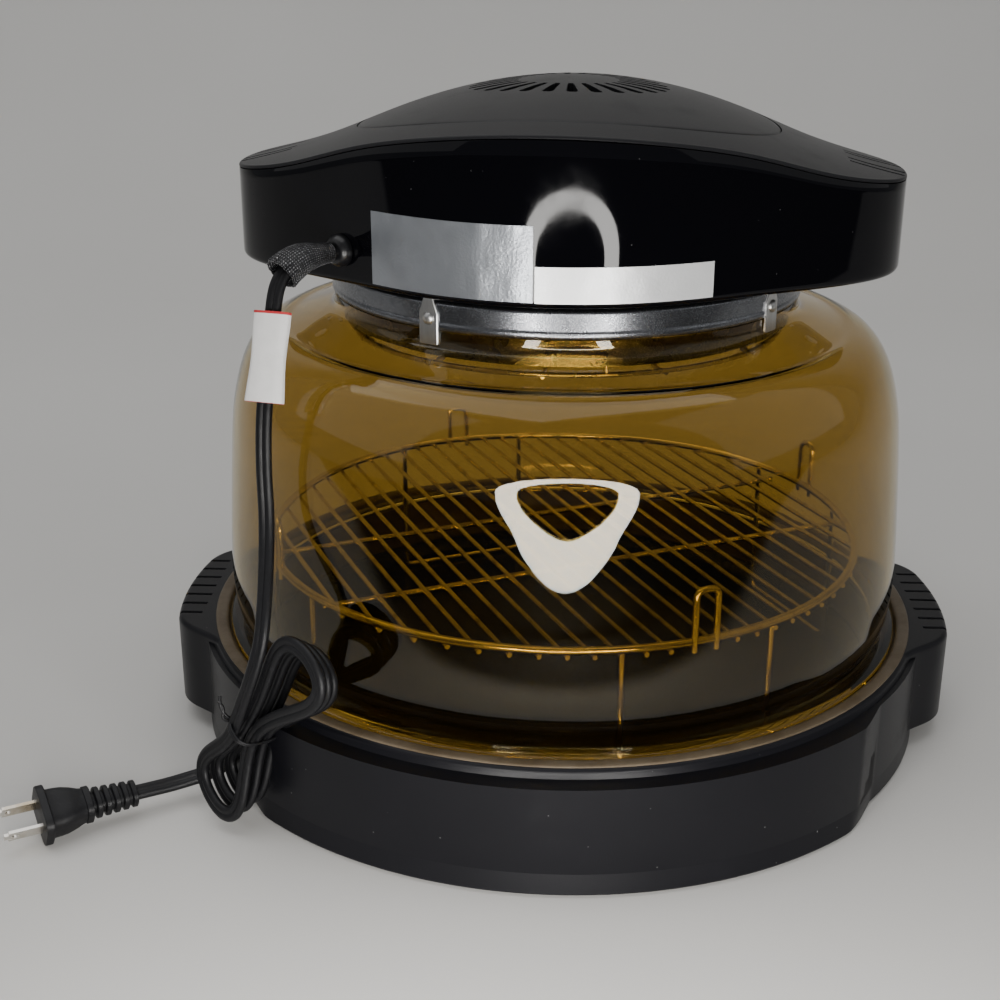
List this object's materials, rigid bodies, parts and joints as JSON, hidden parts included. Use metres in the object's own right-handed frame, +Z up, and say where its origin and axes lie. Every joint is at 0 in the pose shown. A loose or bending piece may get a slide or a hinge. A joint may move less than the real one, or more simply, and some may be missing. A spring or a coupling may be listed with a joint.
{
  "type": "halogen oven",
  "caption": "Tabletop halogen oven: round base with liner pan and wire rack, amber dome, and a lift-off power head with lamp, fans, keys and a tied power cord.",
  "frame": {"origin": "centre of the base on the table, on the oven's vertical axis", "axes": "+Z up; +X through the right grip of the base seen from the cord side; +Y away from the cord side, towards the keys"},
  "size_m": [0.4594, 0.3954, 0.328],
  "materials": {
    "base_plastic": "satin moulded plastic",
    "rubber": "matt",
    "enamel": "glossy enamel",
    "nickel": "nickel plated",
    "amber_dome": "clear amber",
    "gloss_black": "gloss",
    "satin_charcoal": "satin",
    "zinc": "zinc plated",
    "grey_paint": "metallic grey paint",
    "mineral_board": "mineral insulation board",
    "bright_sheet": "bright sheet",
    "quartz": "frosted quartz",
    "ceramic": "glazed ceramic",
    "bronze": "sintered bronze",
    "steel": "ground steel",
    "fan_plastic": "moulded plastic",
    "board": "circuit board",
    "window": "dark red filter",
    "key_plastic": "satin",
    "foil": "blank silver foil",
    "braid": "woven glass fibre",
    "cord_vinyl": "satin vinyl",
    "paper": "blank paper"
  },
  "bodies": {
    "base": {"base_shell": "base_plastic", "base_feet": "rubber"},
    "pan": {"liner_pan": "enamel"},
    "rack": {"rack_grid": "nickel", "rack_long_legs": "nickel", "rack_short_loops": "nickel"},
    "dome": {"dome_shell": "amber_dome"},
    "head": {"lower_housing": "gloss_black", "upper_cover": "satin_charcoal", "cover_pillars": "zinc", "vent_cap": "satin_charcoal", "heater_can": "grey_paint", "insulation_ring": "mineral_board", "reflector": "bright_sheet", "lamp_ring": "quartz", "lamp_clips": "zinc", "lamp_end_caps": "ceramic", "guard_grille": "nickel", "locating_clips": "zinc", "clip_rivets": "zinc", "motor_bracket": "zinc", "motor_can": "zinc", "motor_bushes": "bronze", "temperature_probe": "steel", "power_board": "board", "key_board": "board", "control_fascia": "gloss_black", "display_window": "window", "housing_screws": "zinc", "bracket_screws": "zinc", "rating_plate_left": "foil", "rating_plate_right": "foil", "cord_bushing": "rubber", "cord_sleeve": "braid", "cord_lead": "cord_vinyl", "cord_hank": "cord_vinyl", "cord_tail": "cord_vinyl", "cord_tie": "cord_vinyl", "cord_tag": "paper", "plug_body": "cord_vinyl", "plug_blades": "nickel"},
    "rotor": {"motor_shaft": "steel", "hot_fan": "bright_sheet", "cooling_fan": "fan_plastic"},
    "key_1": {"key_1": "key_plastic"},
    "key_2": {"key_2": "key_plastic"},
    "key_3": {"key_3": "key_plastic"},
    "key_4": {"key_4": "key_plastic"},
    "key_5": {"key_5": "key_plastic"},
    "key_6": {"key_6": "key_plastic"},
    "key_7": {"key_7": "key_plastic"},
    "key_8": {"key_8": "key_plastic"}
  },
  "joints": [
    {"name": "pan_lift", "type": "slide", "parent": "base", "child": "pan", "axis": [0, 0, 1], "range_m": [0, 0.06]},
    {"name": "rack_lift", "type": "slide", "parent": "pan", "child": "rack", "axis": [0, 0, 1], "range_m": [0, 0.058]},
    {"name": "dome_lift", "type": "slide", "parent": "pan", "child": "dome", "axis": [0, 0, 1], "range_m": [0, 0.15]},
    {"name": "head_lift", "type": "slide", "parent": "dome", "child": "head", "axis": [0, 0, 1], "range_m": [0, 0.15]},
    {"name": "fan_spin", "type": "hinge", "parent": "head", "child": "rotor", "pos_m": [0, 0, 0.25], "axis": [0, 0, 1], "continuous": true},
    {"name": "key_1_press", "type": "slide", "parent": "head", "child": "key_1", "axis": [-0.5, -0.866, 0], "range_m": [0, 0.0008], "stiffness_N_per_m": 600, "springref_m": -0.0006},
    {"name": "key_2_press", "type": "slide", "parent": "head", "child": "key_2", "axis": [-0.5, -0.866, 0], "range_m": [0, 0.0008], "stiffness_N_per_m": 600, "springref_m": -0.0006},
    {"name": "key_3_press", "type": "slide", "parent": "head", "child": "key_3", "axis": [-0.342, -0.9397, 0], "range_m": [0, 0.0008], "stiffness_N_per_m": 600, "springref_m": -0.0006},
    {"name": "key_4_press", "type": "slide", "parent": "head", "child": "key_4", "axis": [-0.342, -0.9397, 0], "range_m": [0, 0.0008], "stiffness_N_per_m": 600, "springref_m": -0.0006},
    {"name": "key_5_press", "type": "slide", "parent": "head", "child": "key_5", "axis": [0.1736, -0.9848, 0], "range_m": [0, 0.0008], "stiffness_N_per_m": 600, "springref_m": -0.0006},
    {"name": "key_6_press", "type": "slide", "parent": "head", "child": "key_6", "axis": [0.1736, -0.9848, 0], "range_m": [0, 0.0008], "stiffness_N_per_m": 600, "springref_m": -0.0006},
    {"name": "key_7_press", "type": "slide", "parent": "head", "child": "key_7", "axis": [0.342, -0.9397, 0], "range_m": [0, 0.0008], "stiffness_N_per_m": 600, "springref_m": -0.0006},
    {"name": "key_8_press", "type": "slide", "parent": "head", "child": "key_8", "axis": [0.342, -0.9397, 0], "range_m": [0, 0.0008], "stiffness_N_per_m": 600, "springref_m": -0.0006}
  ]
}
